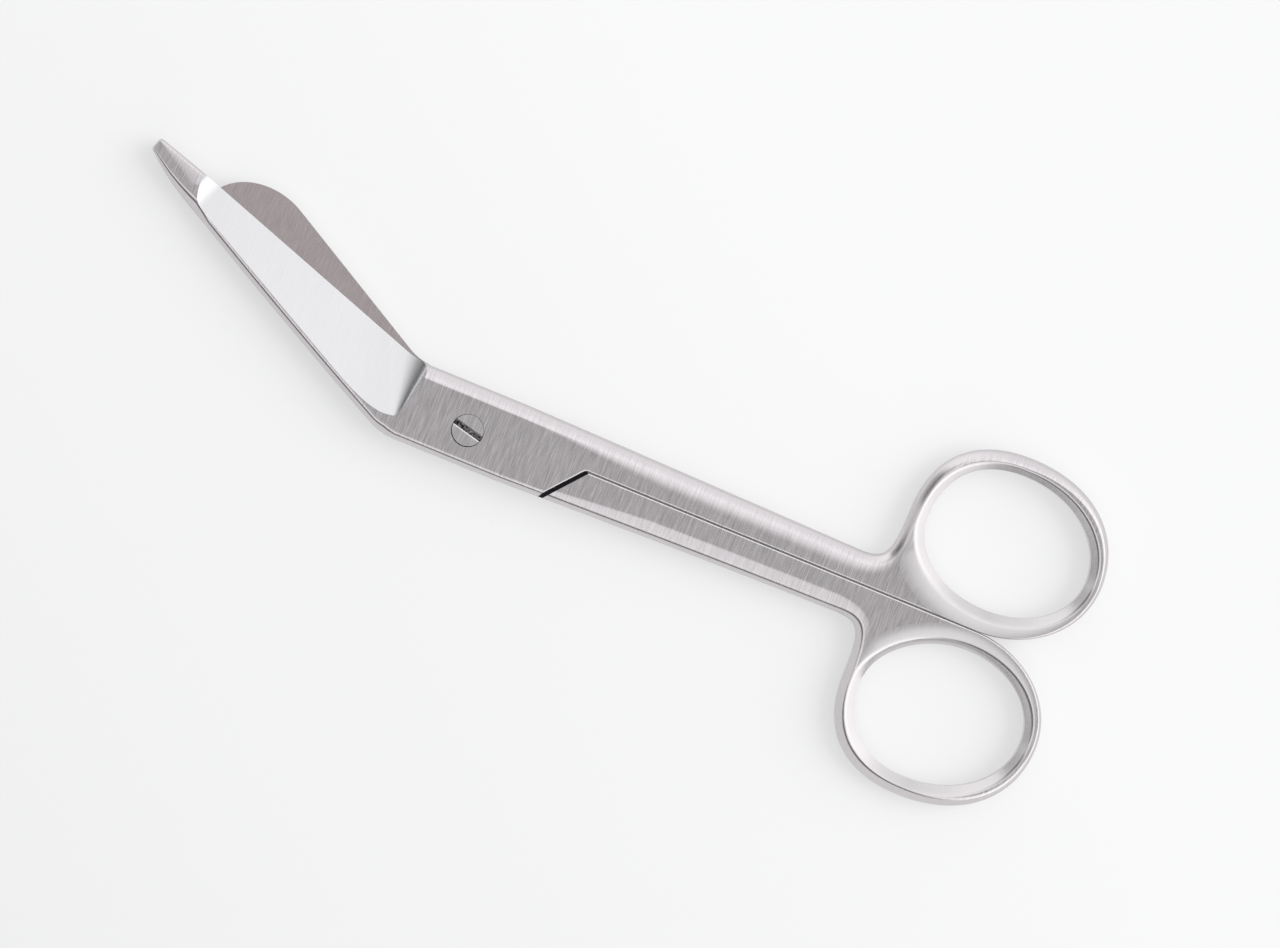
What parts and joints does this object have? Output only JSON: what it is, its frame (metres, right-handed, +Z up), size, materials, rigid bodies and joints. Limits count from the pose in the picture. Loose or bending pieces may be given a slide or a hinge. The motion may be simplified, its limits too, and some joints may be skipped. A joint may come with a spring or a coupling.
{
  "type": "bandage scissors",
  "caption": "Angled bandage scissors in satin steel: long blade with a blunt probe, short round-nosed blade, lap joint on a slotted screw, finger rings.",
  "frame": {"origin": "on the pivot axis, at the flush end of the screw, in the plane of the underside", "axes": "+X along the seam of the shanks towards the finger rings, +Y towards the ring of the probe half, +Z up along the pivot axis towards the screw head"},
  "size_m": [0.1401, 0.0486, 0.0044],
  "materials": {
    "probe_half_steel": "satin stainless steel, brushed across the shank, blade finely ground",
    "blunt_half_steel": "satin stainless steel, brushed across the shank, inner blade face ground",
    "pivot_screw_steel": "satin stainless steel, faced off with the box"
  },
  "bodies": {
    "blunt_half": {"blunt_half": "blunt_half_steel", "pivot_screw": "pivot_screw_steel"},
    "probe_half": {"probe_half": "probe_half_steel"}
  },
  "joints": [
    {"name": "pivot", "type": "hinge", "parent": "blunt_half", "child": "probe_half", "pos_m": [0, 0, 0], "axis": [0, 0, 1], "range_deg": [0, 118]}
  ]
}
